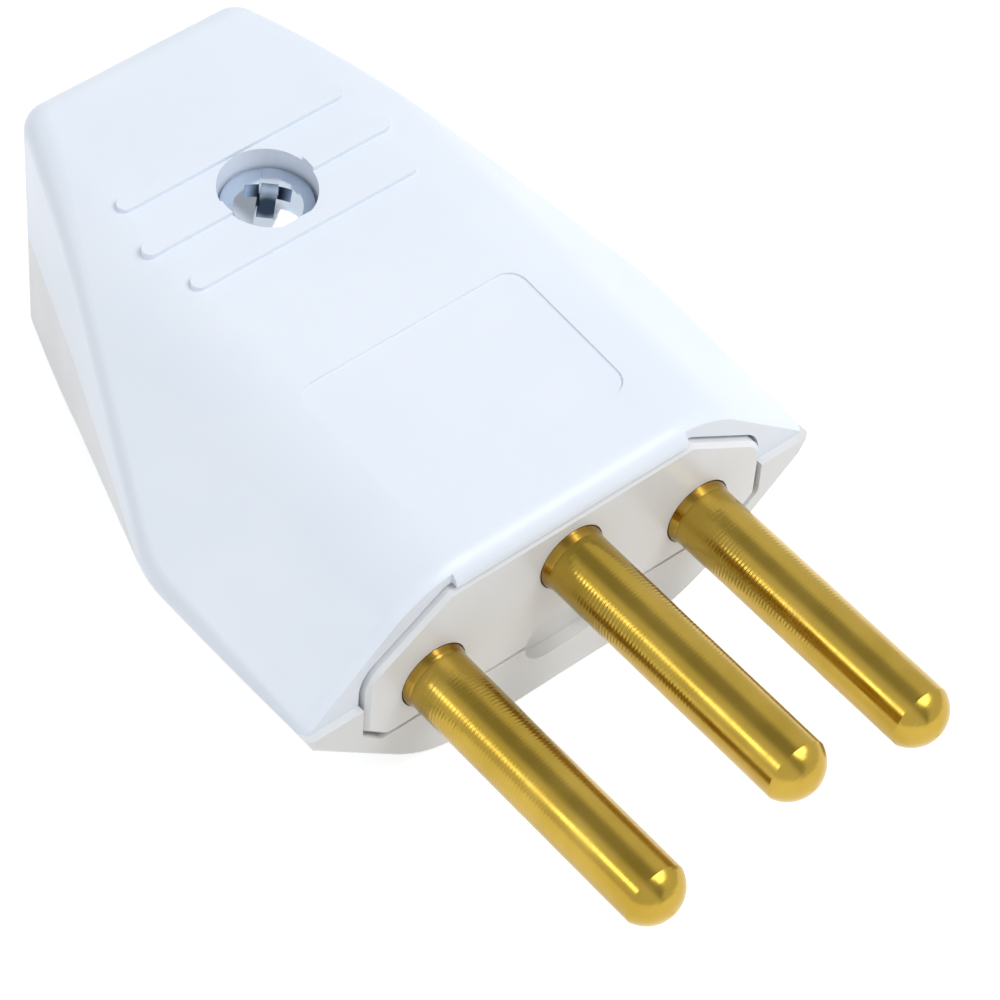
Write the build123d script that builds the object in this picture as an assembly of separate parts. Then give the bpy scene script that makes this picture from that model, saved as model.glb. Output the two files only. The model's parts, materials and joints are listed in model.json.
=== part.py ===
from build123d import *
import math
import os

# Rewireable grounded plug with three round pins.
# x runs across the plug, +y from the pins to the cord end, +z up to the side with the closing screw.
# The origin is on the engagement face, midway between the two line pins. Millimetres throughout.

# Body seen from above
half_width = 18.2
straight_length = 14.4
taper_length = 14.9
tail_length = 10.8
waist_half_width = 11.9
tail_half_width = 7.7
shoulder_radius = 8.2
waist_radius = 25.0
tail_corner_radius = 1.9
body_length = straight_length + taper_length + tail_length

# Body in cross-section
parting_z = 0.55
top_z = 7.45
top_slope = 4.1
bottom_z = -7.7
top_slope_x = 10.2
top_slope_radius = 8.0
bottom_slope_x = 9.45
bottom_slope_radius = 8.0
edge_radius = 1.5
lower_edge = 0.9
lip_radius = 1.4
lower_lip = 0.3
skirt = 4.0
lower_skirt = 0.6

# Walls
wall = 1.5
front_wall = 2.4
rear_wall = 2.4
cover_setback = 0.5
lip_half_width = 8.2

# Pins
pin_radius = 2.0
pin_length = 19.6
pin_dome = 1.4
pin_spacing = 19.0
earth_offset = 3.0
flare_length = 0.5
root_radius = 2.15
root_clearance = 0.06

# Terminal heads behind the carrier
head_radius = 3.0
head_length = 9.0
head_flat = 2.0
wire_hole_radius = 1.35
wire_hole_depth = 6.6
terminal_screw_y = 11.8
terminal_shank_radius = 1.25
terminal_head_radius = 2.1
terminal_head_height = 1.2
terminal_slot_width = 0.6
terminal_slot_depth = 0.6
thread_clearance = 0.05

# Pin carrier
carrier_depth = 6.0
carrier_top_z = 6.2
carrier_top_x = 8.6
carrier_half_width = 14.1
carrier_corner_z = 2.6
carrier_corner_radius = 2.0
carrier_foot_z = -1.6
carrier_foot_x = 12.6
carrier_foot_radius = 0.4
carrier_top_radius = 0.6
carrier_edge = 0.25
carrier_bottom_z = -3.0
carrier_gap = 0.22
tab_reach = 0.85
tab_half_height = 0.75
tab_clearance = 0.1
notch_length = 5.6
notch_height = 3.4
notch_depth = 0.8

# Barriers and cradles in the lower shell
rib_thickness = 1.6
rib_reach = 12.8
cradle_top_z = 1.2
cradle_y = 10.8
cradle_clearance = 0.08
stop_gap = 0.1
wire_notch_radius = 1.9
barrier_x = 4.75
barrier_thickness = 1.2
barrier_top_z = 4.0
barrier_length = 10.0

# Closing screw, its boss, post and nut
screw_shank_radius = 1.5
screw_hole_radius = 1.65
screw_head_radius = 2.68
screw_head_height = 1.65
screw_head_rim = 0.75
screw_length = 14.2
screw_seat_z = 7.5
screw_slot_width = 1.1
screw_slot_depth = 0.8
screw_cross_width = 1.0
screw_cross_reach = 1.35
screw_cross_depth = 1.3
screw_turn = 45.0
counterbore_radius = 2.9
boss_radius = 4.4
boss_floor = 1.8
post_radius = 3.4
nut_across_flats = 5.5
nut_height = 2.4
nut_clearance = 0.1
nut_pocket_depth = 3.4

# Cord inlet and clamp
inlet_radius = 4.0
cord_radius = 3.5
clamp_screw_x = 5.5
clamp_post_radius = 1.9
clamp_post_z = 3.3
clamp_width = 4.6
clamp_rear_gap = 0.8
clamp_boss_gap = 0.9
clamp_end = 2.0
clamp_thickness = 1.8
clamp_tooth_width = 0.8
clamp_tooth_height = 0.6
clamp_tooth_half_length = 2.8
clamp_shank_radius = 1.2
clamp_hole_radius = 1.3
clamp_head_radius = 1.8
clamp_head_height = 1.5
clamp_screw_length = 8.0
clamp_slot_width = 0.5
clamp_slot_depth = 0.6
saddle_length = 2.0

# Finger ribs and label panel on the top face
finger_rib_width = 1.0
finger_rib_height = 0.3
finger_rib_pitch = 3.4
finger_rib_length = 15.8
middle_rib_length = 17.4
panel_half_width = 7.8
panel_start = 4.5
panel_end = 14.7
panel_depth = 0.15
panel_corner_radius = 1.2

pins = {
    "left": (-pin_spacing / 2, 0.0),
    "right": (pin_spacing / 2, 0.0),
    "earth": (0.0, earth_offset),
}
head_end = carrier_depth + head_length
clamp_y = body_length - rear_wall - clamp_rear_gap - clamp_width / 2
screw_y = clamp_y - clamp_width / 2 - clamp_boss_gap - boss_radius
reach = body_length + pin_length + 2 * half_width


def across(y):
    """Drawing plane across the plug at y: its x is the plug's x and its y is the plug's z."""
    return Plane(origin=(0, y, 0), x_dir=(1, 0, 0), z_dir=(0, -1, 0))


def top_at(y):
    """Height of the sloping top face at y."""
    slope = math.radians(top_slope)
    return top_z / math.cos(slope) + y * math.tan(slope)


def on_top(y):
    """Plane that lies on the sloping top face, centred at y."""
    slope = math.radians(top_slope)
    return Plane(origin=(0, y, top_at(y)), x_dir=(1, 0, 0), z_dir=(0, -math.sin(slope), math.cos(slope)))


def outline(half, radii):
    """Closed face, symmetric about x = 0, from its right half and one radius for each corner."""
    left = [(-x, y) for x, y in reversed(half)]
    points = [*half, *left]
    return make_face(FilletPolyline(*points, radius=[*radii, *reversed(radii)], close=True))


def inset(face, distance):
    """The face drawn smaller all round by a distance."""
    return offset(face, -distance, kind=Kind.INTERSECTION) if distance else face


def block(x0, x1, y0, y1, z0, z1):
    """Box between two corners."""
    size = (x1 - x0, y1 - y0, z1 - z0)
    return Pos((x0 + x1) / 2, (y0 + y1) / 2, (z0 + z1) / 2) * Box(*size)


def upright(radius, z0, z1, x=0.0, y=0.0):
    """Cylinder along z from z0 to z1."""
    return Pos(x, y, (z0 + z1) / 2) * Cylinder(radius, z1 - z0)


def along(radius, y0, y1, x=0.0, z=0.0):
    """Cylinder along y from y0 to y1."""
    return Pos(x, (y0 + y1) / 2, z) * Rot(90, 0, 0) * Cylinder(radius, y1 - y0)


def plan_form(distance, front=0.0, rear=0.0):
    """Tall prism over the body's outline from above; inset for the inside, where its corners stay plain."""
    half = [
        (half_width, 0),
        (half_width, straight_length),
        (waist_half_width, straight_length + taper_length),
        (tail_half_width, body_length),
    ]
    radii = [0, 0, 0, 0] if distance else [0, shoulder_radius, waist_radius, tail_corner_radius]
    shape = inset(outline(half, radii), distance)
    prism = extrude(shape, amount=reach, both=True)
    return prism & block(-reach, reach, front, body_length - rear, -reach / 2, reach / 2)


def upper_form(distance, front=0.0, rear=0.0):
    """Upper half of the body: a prism that climbs with the top face, cut to the plan, inset by a distance."""
    half = [(half_width, parting_z - skirt - distance), (half_width, parting_z), (top_slope_x, top_z)]
    shape = inset(outline(half, [0, 0, top_slope_radius]), distance)
    prism = Rot(top_slope, 0, 0) * extrude(across(0) * shape, amount=reach, both=True)
    return prism & plan_form(distance, front, rear)


def lower_form(distance, front=0.0, rear=0.0):
    """Lower half of the body, which reaches above the parting plane for what stands in it."""
    half = [(half_width, top_z + distance), (half_width, parting_z - lower_skirt), (bottom_slope_x, bottom_z)]
    shape = inset(outline(half, [0, 0, bottom_slope_radius]), distance)
    prism = extrude(across(0) * shape, amount=-body_length)
    return prism & plan_form(distance, front, rear)


def rim_edges(form, up):
    """Edges where the upright sides meet the top (up = 1) or the bottom (up = -1)."""
    faces = form.faces()
    sides = [f for f in faces if abs(f.normal_at().Z) < 0.01 and f.center().Y > 0.01]
    caps = [f for f in faces if f.normal_at().Z * up > 0.1]
    cap_edges = [edge for face in caps for edge in face.edges()]
    return [e for face in sides for e in face.edges() if any(e.is_same(c) for c in cap_edges)]


def lip_edges(form, up):
    """Edges of the front face on the far side of the parting plane."""
    front = [e for e in form.edges() if abs(e.bounding_box().max.Y) < 0.01]
    return [e for e in front if (e.center().Z - parting_z) * up > 0.05]


def carrier_outline(grow=0.0):
    """Outline of the pin carrier on the engagement face, drawn larger by the gap around it."""
    half = [
        (carrier_foot_x, carrier_bottom_z),
        (carrier_half_width, carrier_foot_z),
        (carrier_half_width, carrier_corner_z),
        (carrier_top_x, carrier_top_z),
    ]
    face = outline(half, [carrier_foot_radius, carrier_foot_radius, carrier_corner_radius, carrier_top_radius])
    return offset(face, grow) if grow else face


def carrier_tabs(grow=0.0):
    """Keys on the carrier's sides that sit behind the front walls of both shells."""
    z0, z1 = parting_z - tab_half_height - grow, parting_z + tab_half_height + grow
    side = carrier_half_width + tab_reach + grow
    start, end = front_wall + tab_clearance - grow, carrier_depth
    return block(-side, side, start, end, z0, z1)


def carrier_seat():
    """Space that the shells leave for the carrier."""
    hole = extrude(across(0) * carrier_outline(carrier_gap), amount=-carrier_depth - stop_gap)
    lead = extrude(across(0) * carrier_outline(carrier_gap), amount=carrier_depth)
    below = block(-reach, reach, -reach, reach, -reach, carrier_bottom_z)
    return (hole + lead) - below


def pry_notch():
    """Oblong recess across the seam below the earth pin, to open the plug with a blade."""
    shape = SlotOverall(notch_length, notch_height)
    return extrude(Plane(origin=(0, 0, carrier_bottom_z), x_dir=(1, 0, 0), z_dir=(0, -1, 0)) * shape,
                   amount=notch_depth, both=True)


def inlet():
    """Round hole for the cord through both rear walls."""
    return along(inlet_radius, body_length - 2 * rear_wall, body_length + rear_wall, z=parting_z)


def make_top_cover():
    """Upper shell."""
    form = upper_form(0)
    form = fillet(rim_edges(form, 1), edge_radius)
    form = fillet(lip_edges(form, 1), lip_radius)
    above = block(-reach, reach, -reach, reach, parting_z, reach)
    for side in (-1, 1):
        inner, outer = side * lip_half_width, side * reach
        above -= block(min(inner, outer), max(inner, outer), -reach, cover_setback, -reach, reach)
    cavity = upper_form(wall, front_wall, rear_wall)
    cover = form & above

    boss = upright(boss_radius, screw_seat_z - boss_floor, top_at(body_length), y=screw_y)
    rib_y = carrier_depth + stop_gap
    hold_down = block(-rib_reach, rib_reach, rib_y, rib_y + rib_thickness, cradle_top_z + stop_gap, reach)
    for x, z in pins.values():
        hold_down -= along(head_radius + stop_gap, 0, head_end, x, z)
        hold_down -= block(x - head_radius - stop_gap, x + head_radius + stop_gap, 0, head_end, -reach, z)
    inside = (boss + hold_down) & cavity
    cover = (cover - cavity) + inside
    cover -= carrier_seat()
    cover -= carrier_tabs(tab_clearance)
    cover -= upright(counterbore_radius, screw_seat_z, reach, y=screw_y)
    cover -= upright(screw_hole_radius, -reach, reach, y=screw_y)
    cover -= inlet()

    middle = (panel_start + panel_end) / 2
    panel = RectangleRounded(2 * panel_half_width, panel_end - panel_start, panel_corner_radius)
    cover -= extrude(on_top(middle) * panel, amount=panel_depth, both=True)
    for step, length in ((-1, finger_rib_length), (0, middle_rib_length), (1, finger_rib_length)):
        bar = SlotOverall(length, finger_rib_width)
        rib = extrude(on_top(screw_y + step * finger_rib_pitch) * bar, amount=finger_rib_height, both=True)
        cover += rib - upright(counterbore_radius, 0, reach, y=screw_y)
    return cover


def make_bottom_shell():
    """Lower shell with everything that stands on its floor."""
    form = lower_form(0)
    form = chamfer(rim_edges(form, -1), lower_edge)
    form = chamfer(lip_edges(form, -1), lower_lip)
    below = block(-reach, reach, -reach, reach, -reach, parting_z)
    shell = (form & below) - lower_form(wall, front_wall, rear_wall)

    rise = block(-rib_reach, rib_reach, 0, body_length, -reach, cradle_top_z)
    cradle = rise & block(-reach, reach, cradle_y, cradle_y + rib_thickness, -reach, reach)
    stop_y = head_end + stop_gap
    stop = rise & block(-reach, reach, stop_y, stop_y + rib_thickness, -reach, reach)
    for x, z in pins.values():
        cradle -= along(head_radius + cradle_clearance, 0, body_length, x, z)
        cradle -= block(x - head_radius - cradle_clearance, x + head_radius + cradle_clearance,
                        0, body_length, z, reach)
        stop -= along(wire_notch_radius, 0, body_length, x, z)
        stop -= block(x - wire_notch_radius, x + wire_notch_radius, 0, body_length, z, reach)
    ledge_ribs = [
        block(x - rib_thickness / 2, x + rib_thickness / 2, front_wall / 2, carrier_depth - stop_gap,
              -reach, carrier_bottom_z)
        for x in (-pin_spacing / 2, 0, pin_spacing / 2)
    ]
    barrier_y = carrier_depth + rib_thickness + 2 * stop_gap
    barriers = [
        block(x - barrier_thickness / 2, x + barrier_thickness / 2, barrier_y, barrier_y + barrier_length,
              -reach, barrier_top_z)
        for x in (-barrier_x, barrier_x)
    ]
    post = upright(post_radius, -reach, screw_seat_z - boss_floor, y=screw_y)
    clamp_posts = [
        upright(clamp_post_radius, -reach, clamp_post_z, x, clamp_y) for x in (-clamp_screw_x, clamp_screw_x)
    ]
    saddle = block(-clamp_screw_x, clamp_screw_x, clamp_y - saddle_length / 2, clamp_y + saddle_length / 2,
                   -reach, parting_z)
    saddle -= along(cord_radius, 0, body_length, z=parting_z)
    inside = cradle + stop + saddle + post
    for piece in (*ledge_ribs, *barriers, *clamp_posts):
        inside += piece
    shell += inside & lower_form(wall / 2)

    shell -= carrier_seat()
    shell -= carrier_tabs(tab_clearance)
    shell -= pry_notch()
    shell -= inlet()
    shell -= upright(screw_hole_radius, -reach, reach, y=screw_y)
    pocket = RegularPolygon(nut_across_flats / 2 + nut_clearance, 6, major_radius=False)
    shell -= extrude(Pos(0, screw_y, bottom_z) * pocket, amount=nut_pocket_depth, both=True)
    for x in (-clamp_screw_x, clamp_screw_x):
        depth = clamp_screw_length - clamp_thickness + thread_clearance
        shell -= upright(clamp_shank_radius + thread_clearance, clamp_post_z - depth, reach, x, clamp_y)
    return shell


def make_pin_carrier():
    """Insert with a bore for each pin."""
    carrier = extrude(across(0) * carrier_outline(), amount=-carrier_depth)
    rim = [e for e in carrier.faces().sort_by(Axis.Y)[0].edges() if e.center().Z > carrier_foot_z]
    carrier = chamfer(rim, carrier_edge)
    carrier += carrier_tabs()
    for x, z in pins.values():
        carrier -= along(root_radius + root_clearance, -carrier_depth, 2 * carrier_depth, x, z)
    return carrier - pry_notch()


def make_pin(x, z):
    """Turned pin: domed tip, shank, flare at the face, root in the carrier and terminal head."""
    shank_start = -pin_length + pin_dome
    dome_radius = (pin_radius**2 + pin_dome**2) / (2 * pin_dome)
    half_angle = math.asin(pin_radius / dome_radius) / 2
    midway = (dome_radius * math.sin(half_angle), -pin_length + dome_radius * (1 - math.cos(half_angle)))
    with BuildPart() as turned:
        with BuildSketch(Plane.XY):
            with BuildLine():
                ThreePointArc((0, -pin_length), midway, (pin_radius, shank_start))
                Polyline(
                    (pin_radius, shank_start),
                    (pin_radius, -flare_length),
                    (root_radius, 0),
                    (root_radius, carrier_depth),
                    (head_radius, carrier_depth),
                    (head_radius, head_end),
                    (0, head_end),
                    (0, -pin_length),
                )
            make_face()
        revolve(axis=Axis.Y)
    pin = turned.part
    flat_start = cradle_y - rib_thickness
    pin -= block(-reach, reach, flat_start, reach, head_flat, reach)
    pin -= along(wire_hole_radius, head_end - wire_hole_depth, reach)
    pin -= upright(terminal_shank_radius + thread_clearance, 0, reach, y=terminal_screw_y)
    return Pos(x, 0, z) * pin


def slotted_screw(shank_radius, length, head_radius_, head_height, slot_width, slot_depth):
    """Cheese-head screw standing on z = 0 with its shank below."""
    screw = upright(head_radius_, 0, head_height) + upright(shank_radius, -length, 0)
    slot = block(-2 * head_radius_, 2 * head_radius_, -slot_width / 2, slot_width / 2,
                 head_height - slot_depth, 2 * head_height)
    return screw - slot


def make_cover_screw():
    """Domed closing screw with a slot across it and a short cross in the middle."""
    dome_height = screw_head_height - screw_head_rim
    dome_radius = (screw_head_radius**2 + dome_height**2) / (2 * dome_height)
    dome = Pos(0, 0, screw_head_height - dome_radius) * Sphere(dome_radius)
    head = upright(screw_head_radius, 0, screw_head_height) & dome
    screw = head + upright(screw_shank_radius, -screw_length, 0)
    top = screw_head_height
    screw -= block(-reach, reach, -screw_slot_width / 2, screw_slot_width / 2, top - screw_slot_depth, reach)
    for turn in (0, 90):
        arm = block(-screw_cross_reach, screw_cross_reach, -screw_cross_width / 2, screw_cross_width / 2,
                    top - screw_cross_depth, reach)
        screw -= Rot(0, 0, turn) * arm
    return Pos(0, screw_y, screw_seat_z) * Rot(0, 0, screw_turn) * screw


def make_cover_nut():
    """Hexagon nut in the pocket on the underside."""
    shape = RegularPolygon(nut_across_flats / 2, 6, major_radius=False)
    top = bottom_z + nut_pocket_depth
    nut = extrude(Pos(0, screw_y, top - nut_height) * shape, amount=nut_height)
    return nut - upright(screw_shank_radius + thread_clearance, -reach, reach, y=screw_y)


def make_cord_clamp():
    """Bar across the cord with a tooth underneath and a hole at each end."""
    shape = SlotOverall(2 * (clamp_screw_x + clamp_end), clamp_width)
    bar = extrude(Pos(0, clamp_y, clamp_post_z) * shape, amount=clamp_thickness)
    bar += block(-clamp_tooth_half_length, clamp_tooth_half_length, clamp_y - clamp_tooth_width / 2,
                 clamp_y + clamp_tooth_width / 2, clamp_post_z - clamp_tooth_height, clamp_post_z)
    for x in (-clamp_screw_x, clamp_screw_x):
        bar -= upright(clamp_hole_radius, 0, reach, x, clamp_y)
    return bar


parts = {
    "top_cover": make_top_cover(),
    "bottom_shell": make_bottom_shell(),
    "pin_carrier": make_pin_carrier(),
    "cover_screw": make_cover_screw(),
    "cover_nut": make_cover_nut(),
    "cord_clamp": make_cord_clamp(),
}
for name, (x, z) in pins.items():
    parts[f"pin_{name}"] = make_pin(x, z)
    terminal_length = head_flat - wire_hole_radius / 2
    terminal = slotted_screw(terminal_shank_radius, terminal_length, terminal_head_radius,
                             terminal_head_height, terminal_slot_width, terminal_slot_depth)
    parts[f"terminal_screw_{name}"] = Pos(x, terminal_screw_y, z + head_flat) * terminal
for name, side in (("left", -1), ("right", 1)):
    clamp_screw = slotted_screw(clamp_shank_radius, clamp_screw_length, clamp_head_radius,
                                clamp_head_height, clamp_slot_width, clamp_slot_depth)
    seat_z = clamp_post_z + clamp_thickness
    parts[f"clamp_screw_{name}"] = Pos(side * clamp_screw_x, clamp_y, seat_z) * clamp_screw

os.makedirs("parts", exist_ok=True)
for name, shape in parts.items():
    export_step(shape, f"parts/{name}.step")
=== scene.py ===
import json
import math

import bpy
from mathutils import Euler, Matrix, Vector


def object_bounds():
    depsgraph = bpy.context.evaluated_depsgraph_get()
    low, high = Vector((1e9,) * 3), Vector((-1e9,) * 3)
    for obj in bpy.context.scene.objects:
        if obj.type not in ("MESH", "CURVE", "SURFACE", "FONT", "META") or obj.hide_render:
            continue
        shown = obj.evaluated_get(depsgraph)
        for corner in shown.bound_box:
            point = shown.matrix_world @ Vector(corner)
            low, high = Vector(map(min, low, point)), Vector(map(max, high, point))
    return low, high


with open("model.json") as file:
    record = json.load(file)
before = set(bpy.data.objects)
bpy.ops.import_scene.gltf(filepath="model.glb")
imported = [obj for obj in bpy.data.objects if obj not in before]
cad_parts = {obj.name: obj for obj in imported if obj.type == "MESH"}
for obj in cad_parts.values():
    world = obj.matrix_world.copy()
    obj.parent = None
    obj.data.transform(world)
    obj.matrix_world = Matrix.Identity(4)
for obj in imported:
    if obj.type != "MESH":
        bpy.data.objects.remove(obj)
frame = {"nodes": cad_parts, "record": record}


def plain_box():
    """The model's box as plain lists of numbers."""
    return [[float(v) for v in corner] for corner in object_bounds()]


cad_box = plain_box()
scene = bpy.context.scene
scene.view_settings.view_transform = "Standard"

# Camera at the photograph's viewing angle: place in metres, turn in degrees, lens in millimetres
camera_place = (-0.107134, -0.106684, 0.185987)
camera_turn = (40.1113, -3.162, -39.8116)
sensor_width = 36.0
focal_length = 157.3
nearest_seen = 0.01
farthest_seen = 20.0


def photo_camera():
    """The camera that the picture is taken with."""
    data = bpy.data.cameras.new("photo_camera")
    data.sensor_width = sensor_width
    data.lens = focal_length
    data.clip_start = nearest_seen
    data.clip_end = farthest_seen
    camera = bpy.data.objects.new("photo_camera", data)
    camera.location = camera_place
    camera.rotation_euler = Euler([math.radians(angle) for angle in camera_turn], "XYZ")
    scene.collection.objects.link(camera)
    scene.camera = camera


photo_camera()

# Looks: the two shades that each goes between, and its roughness
cover_look = ((0.815, 0.873, 0.965), (0.845, 0.898, 0.985), 0.34)
shell_look = ((0.75, 0.76, 0.77), (0.78, 0.79, 0.80), 0.32)
carrier_look = ((0.79, 0.80, 0.82), (0.82, 0.83, 0.85), 0.32)
clamp_look = ((0.72, 0.72, 0.70), (0.76, 0.76, 0.74), 0.45)
brass_look = ((0.43, 0.285, 0.042), (0.505, 0.34, 0.062), 0.21)
zinc_look = ((0.60, 0.67, 0.77), (0.72, 0.79, 0.88), 0.12)
steel_look = ((0.55, 0.56, 0.57), (0.62, 0.63, 0.64), 0.32)

# Noise: the range that its values mostly keep to, and how many finer layers it has
noise_low = 0.3
noise_high = 0.7
first_shade_below = 0.35
second_shade_above = 0.65
some_layers = 2.0
more_layers = 3.0
most_layers = 4.0

# Plastic: patches and grain in waves a metre, heights and depths in metres
plastic_ior = 1.49
milky_share = 0.06
milky_reach = (0.004, 0.0036, 0.0032)
milky_scale = 0.4
shade_patches = 90.0
gloss_patches = 260.0
plastic_smoother = 0.04
plastic_rougher = 0.05
mould_grain = 900.0
mould_grain_strength = 0.08
mould_grain_height = 0.00004

# Metal: patches and marks in waves a metre, places along y and heights in metres
tone_patches = 260.0
wear_patches = 500.0
metal_smoother = 0.04
metal_rougher = 0.06
even = (1.0, 1.0, 1.0)
around_pin = (0.03, 1.0, 0.03)
scratches_on_pin = 5200.0
scratch_strength = 0.4
scratch_height = 0.00003
ring_pitch = 0.00024
ring_height = 0.000008
ring_wobble = 1.2
ring_wobble_scale = 0.4
rings_middle = -0.0075
rings_half_length = 0.003
rings_fade = 0.003
rings_elsewhere = 0.1
# Painted shade: the pins' colour goes darker towards their root at the face, standing in for the shade
# there
root_shade_from = -0.0008
root_shade_full = -0.0002
root_painted_shade = (0.30, 0.18, 0.03)
plating_marks = 1500.0
zinc_mark_strength = 0.15
zinc_mark_height = 0.00003
steel_mark_strength = 0.2
steel_mark_height = 0.00005
# Painted shade: the screw's colour darkens towards the middle of its cross recess, standing in for the
# shade there
recess_middle = (0.0, 0.027, 0.0078)
recess_dark_reach = 0.0005
recess_unshaded_reach = 0.0015
recess_painted_shade = (0.03, 0.05, 0.08)


def new_material(name):
    """A node material, its tree and its Principled shader."""
    material = bpy.data.materials.new(name)
    material.use_nodes = True
    tree = material.node_tree
    return material, tree, tree.nodes["Principled BSDF"]


def add(tree, kind, inputs=None, **properties):
    """A shader node with some of its properties and inputs set."""
    node = tree.nodes.new(kind)
    for name, value in properties.items():
        setattr(node, name, value)
    for name, value in (inputs or {}).items():
        node.inputs[name].default_value = value
    return node


def math_node(tree, operation, first, second=None):
    """The result of a sum with one socket and, where one is given, a second socket or a number."""
    node = add(tree, "ShaderNodeMath", operation=operation)
    tree.links.new(first, node.inputs[0])
    if isinstance(second, float):
        node.inputs[1].default_value = second
    elif second is not None:
        tree.links.new(second, node.inputs[1])
    return node.outputs[0]


def object_place(tree):
    """The place on the object, in metres."""
    return add(tree, "ShaderNodeTexCoord").outputs["Object"]


def along_y(tree):
    """The place along the plug, in metres: 0 at the face, lower towards the tips of the pins."""
    parts = add(tree, "ShaderNodeSeparateXYZ")
    tree.links.new(object_place(tree), parts.inputs[0])
    return parts.outputs["Y"]


def object_noise(tree, scale, detail, stretch=even):
    """Noise fixed to the object, at so many waves a metre."""
    mapping = add(tree, "ShaderNodeMapping", {"Scale": stretch})
    noise = add(tree, "ShaderNodeTexNoise", {"Scale": scale, "Detail": detail})
    tree.links.new(object_place(tree), mapping.inputs["Vector"])
    tree.links.new(mapping.outputs["Vector"], noise.inputs["Vector"])
    return noise.outputs["Fac"]


def spread(tree, noise, low, high):
    """A noise value mapped to a range of values."""
    limits = {"From Min": noise_low, "From Max": noise_high, "To Min": low, "To Max": high}
    ranged = add(tree, "ShaderNodeMapRange", limits)
    tree.links.new(noise, ranged.inputs["Value"])
    return ranged.outputs["Result"]


def smooth_change(tree, source, start, end, first=0.0, last=1.0):
    """A value that goes smoothly from first to last while the source goes from start to end."""
    limits = {"From Min": start, "From Max": end, "To Min": first, "To Max": last}
    ranged = add(tree, "ShaderNodeMapRange", limits, interpolation_type="SMOOTHSTEP")
    tree.links.new(source, ranged.inputs["Value"])
    return ranged.outputs["Result"]


def blend_colours(tree, noise, first, second):
    """A colour between two, by a noise value."""
    ramp = add(tree, "ShaderNodeValToRGB")
    start, end = ramp.color_ramp.elements
    start.position = first_shade_below
    start.color = (*first, 1.0)
    end.position = second_shade_above
    end.color = (*second, 1.0)
    tree.links.new(noise, ramp.inputs["Fac"])
    return ramp.outputs["Color"]


def darkened(tree, colour, shade, amount):
    """The colour, going over to a shade while the amount goes from 0 to 1."""
    mixed = add(tree, "ShaderNodeMix", {"B": (*shade, 1.0)}, data_type="RGBA")
    tree.links.new(amount, mixed.inputs["Factor"])
    tree.links.new(colour, mixed.inputs["A"])
    return mixed.outputs["Result"]


def bump(tree, shader, source, strength, height, under=None):
    """Fine relief on the shader from a height value, over another relief where one is given."""
    relief = add(tree, "ShaderNodeBump", {"Strength": strength, "Distance": height})
    tree.links.new(source, relief.inputs["Height"])
    if under:
        tree.links.new(under.outputs["Normal"], relief.inputs["Normal"])
    tree.links.new(relief.outputs["Normal"], shader.inputs["Normal"])
    return relief


def plastic(name, first, second, roughness):
    """Smooth moulded plastic: slight shade and gloss variation and a faint mould texture."""
    material, tree, shader = new_material(name)
    shader.inputs["IOR"].default_value = plastic_ior
    shader.inputs["Subsurface Weight"].default_value = milky_share
    shader.inputs["Subsurface Radius"].default_value = milky_reach
    shader.inputs["Subsurface Scale"].default_value = milky_scale
    colour = blend_colours(tree, object_noise(tree, shade_patches, more_layers), first, second)
    tree.links.new(colour, shader.inputs["Base Color"])
    gloss = object_noise(tree, gloss_patches, some_layers)
    ranged = spread(tree, gloss, roughness - plastic_smoother, roughness + plastic_rougher)
    tree.links.new(ranged, shader.inputs["Roughness"])
    grain = object_noise(tree, mould_grain, some_layers)
    bump(tree, shader, grain, mould_grain_strength, mould_grain_height)
    return material


def metal(name, first, second, roughness):
    """Metal with tone and gloss variation. Its colour is returned too, not yet linked."""
    material, tree, shader = new_material(name)
    shader.inputs["Metallic"].default_value = 1.0
    colour = blend_colours(tree, object_noise(tree, tone_patches, most_layers), first, second)
    wear = object_noise(tree, wear_patches, more_layers)
    ranged = spread(tree, wear, roughness - metal_smoother, roughness + metal_rougher)
    tree.links.new(ranged, shader.inputs["Roughness"])
    return material, tree, shader, colour


def turning_rings(tree):
    """Height of the fine rings that the lathe leaves on a pin, highest on one stretch of it."""
    radians_per_unit = 20.0
    wave = add(tree, "ShaderNodeTexWave", {
        "Scale": math.tau / (radians_per_unit * ring_pitch),
        "Distortion": ring_wobble,
        "Detail Scale": ring_wobble_scale,
    }, bands_direction="Y")
    tree.links.new(object_place(tree), wave.inputs["Vector"])
    away = math_node(tree, "ABSOLUTE", math_node(tree, "SUBTRACT", along_y(tree), rings_middle))
    faded = rings_half_length + rings_fade
    share = smooth_change(tree, away, rings_half_length, faded, 1.0, rings_elsewhere)
    return math_node(tree, "MULTIPLY", wave.outputs["Fac"], share)


def turned_brass(name, first, second, roughness):
    """Brass of the pins: scratches round the pin, turning rings, and painted shade darkening it where
    it leaves the face.
    """
    material, tree, shader, colour = metal(name, first, second, roughness)
    # painted shade: the pin's colour darkens near its root at the face
    root_shade = smooth_change(tree, along_y(tree), root_shade_from, root_shade_full)
    tree.links.new(darkened(tree, colour, root_painted_shade, root_shade), shader.inputs["Base Color"])
    scratches = object_noise(tree, scratches_on_pin, some_layers, around_pin)
    relief = bump(tree, shader, scratches, scratch_strength, scratch_height)
    bump(tree, shader, turning_rings(tree), 1.0, ring_height, relief)
    return material


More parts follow.
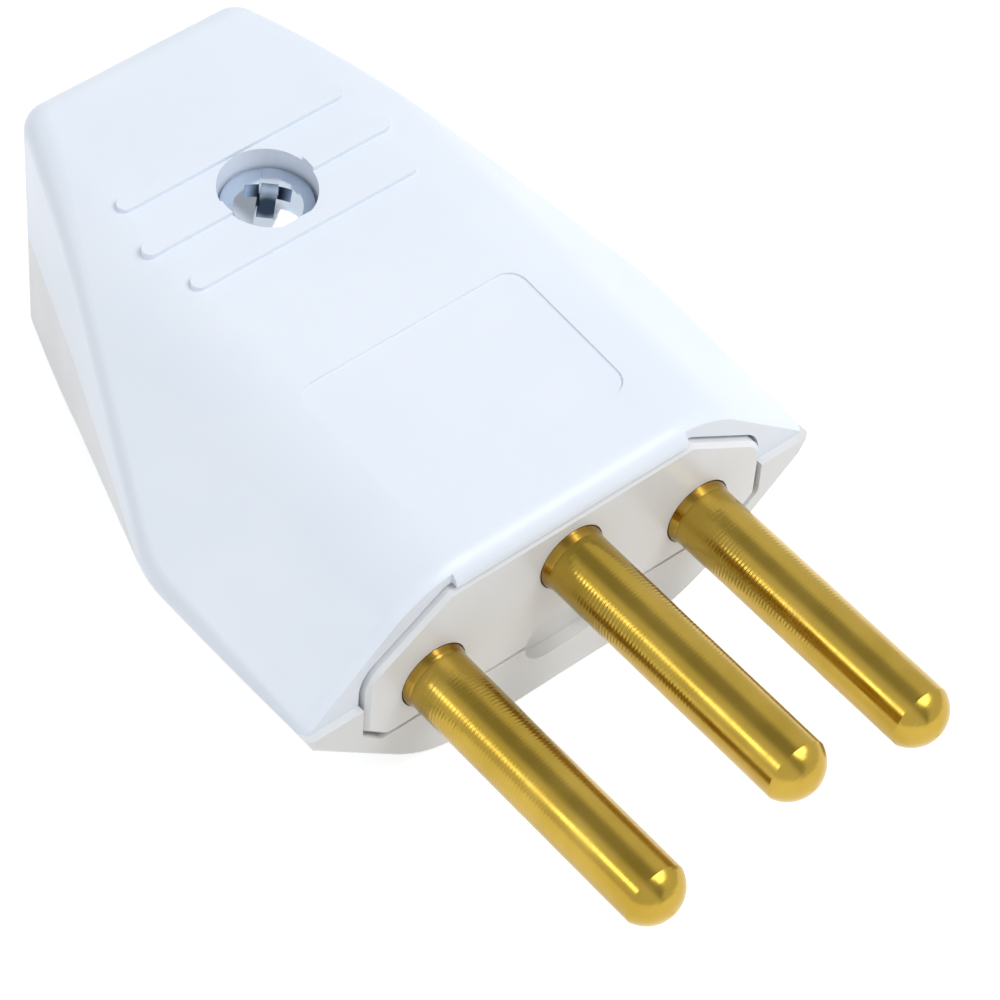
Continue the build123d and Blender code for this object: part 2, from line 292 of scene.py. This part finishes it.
def bright_zinc(name, first, second, roughness):
    """Plating of the closing screw, with painted shade deep in its cross recess."""
    material, tree, shader, colour = metal(name, first, second, roughness)
    away = add(tree, "ShaderNodeVectorMath", operation="DISTANCE")
    away.inputs[1].default_value = recess_middle
    tree.links.new(object_place(tree), away.inputs[0])
    # painted shade: darkest at the middle of the recess, fading out by the unshaded reach
    recess_shade_amount = smooth_change(tree, away.outputs["Value"], recess_dark_reach, recess_unshaded_reach, 1.0, 0.0)
    tree.links.new(darkened(tree, colour, recess_painted_shade, recess_shade_amount), shader.inputs["Base Color"])
    marks = object_noise(tree, plating_marks, some_layers)
    bump(tree, shader, marks, zinc_mark_strength, zinc_mark_height)
    return material


def plain_steel(name, first, second, roughness):
    """Steel of the hidden screws and the nut."""
    material, tree, shader, colour = metal(name, first, second, roughness)
    tree.links.new(colour, shader.inputs["Base Color"])
    marks = object_noise(tree, plating_marks, some_layers)
    bump(tree, shader, marks, steel_mark_strength, steel_mark_height)
    return material


def dress():
    """Every node gets the material of its slot."""
    makers = {
        "cover_plastic": (plastic, cover_look),
        "shell_plastic": (plastic, shell_look),
        "carrier_plastic": (plastic, carrier_look),
        "clamp_plastic": (plastic, clamp_look),
        "pin_brass": (turned_brass, brass_look),
        "screw_zinc": (bright_zinc, zinc_look),
        "inner_steel": (plain_steel, steel_look),
    }
    looks = {slot: make(slot, *look) for slot, (make, look) in makers.items()}
    slot_of = {part["node"]: part["material_slot"] for part in frame["record"]["subparts"]}
    for name, node in frame["nodes"].items():
        node.data.materials.clear()
        node.data.materials.append(looks[slot_of[name]])


dress()

# Floor, lamps and world, in metres and watts
floor_gap = 0.0001
floor_half_width = 3.0
floor_shade = 0.90
floor_roughness = 0.9
floor_glow = 0.55
lamps_aim_at = (0.0, 0.01, 0.0)
world_tint = (0.96, 0.98, 1.0)
world_strength = 0.58
overhead_strength = 0.44
overhead_half_width = math.radians(12)
overhead_faded = math.radians(36)


def floor():
    """A pale floor just under the plug that the camera sees as white, with the plug's shadow on it."""
    mesh = bpy.data.meshes.new("floor")
    half = floor_half_width
    level = cad_box[0][2] - floor_gap
    corners = [(x * half, y * half, level) for x, y in ((-1, -1), (1, -1), (1, 1), (-1, 1))]
    mesh.from_pydata(corners, [], [(0, 1, 2, 3)])
    plane = bpy.data.objects.new("floor", mesh)
    scene.collection.objects.link(plane)
    material, tree, shader = new_material("floor")
    shader.inputs["Base Color"].default_value = (floor_shade, floor_shade, floor_shade, 1.0)
    shader.inputs["Roughness"].default_value = floor_roughness
    shader.inputs["Specular IOR Level"].default_value = 0.0
    paths = add(tree, "ShaderNodeLightPath").outputs
    seen = math_node(tree, "MAXIMUM", paths["Is Camera Ray"], paths["Is Glossy Ray"])
    glow = add(tree, "ShaderNodeEmission")
    tree.links.new(math_node(tree, "MULTIPLY", seen, floor_glow), glow.inputs["Strength"])
    both = add(tree, "ShaderNodeAddShader")
    tree.links.new(shader.outputs["BSDF"], both.inputs[0])
    tree.links.new(glow.outputs["Emission"], both.inputs[1])
    tree.links.new(both.outputs["Shader"], tree.nodes["Material Output"].inputs["Surface"])
    mesh.materials.append(material)


def softbox(name, place, size, power):
    """A rectangular lamp aimed at the middle of the plug."""
    data = bpy.data.lights.new(name, "AREA")
    data.shape = "RECTANGLE"
    data.size, data.size_y = size
    data.energy = power
    lamp = bpy.data.objects.new(name, data)
    lamp.location = place
    aim = Vector(lamps_aim_at) - Vector(place)
    lamp.rotation_euler = aim.to_track_quat("-Z", "Y").to_euler()
    scene.collection.objects.link(lamp)


def studio():
    """A soft even world; in reflections a darker stretch overhead gives the metal its tone bands."""
    world = bpy.data.worlds.new("studio")
    scene.world = world
    world.use_nodes = True
    tree = world.node_tree
    background = tree.nodes["Background"]
    background.inputs["Color"].default_value = (*world_tint, 1.0)
    parts = add(tree, "ShaderNodeSeparateXYZ")
    tree.links.new(add(tree, "ShaderNodeTexCoord").outputs["Generated"], parts.inputs[0])
    angle = math_node(tree, "ARCTAN2", parts.outputs["X"], parts.outputs["Z"])
    aside = math_node(tree, "ABSOLUTE", angle)
    band = smooth_change(tree, aside, overhead_half_width, overhead_faded, overhead_strength)
    choose = add(tree, "ShaderNodeMix", {"A": world_strength}, data_type="FLOAT")
    tree.links.new(add(tree, "ShaderNodeLightPath").outputs["Is Glossy Ray"], choose.inputs["Factor"])
    tree.links.new(band, choose.inputs["B"])
    tree.links.new(choose.outputs["Result"], background.inputs["Strength"])


floor()
softbox("key", place=(0.17, -0.19, 0.45), size=(0.30, 0.30), power=1.30)
softbox("strip", place=(-0.34, 0.18, 0.20), size=(0.26, 0.09), power=0.075)
softbox("spark", place=(-0.34, 0.16, 0.205), size=(0.06, 0.06), power=0.06)
studio()
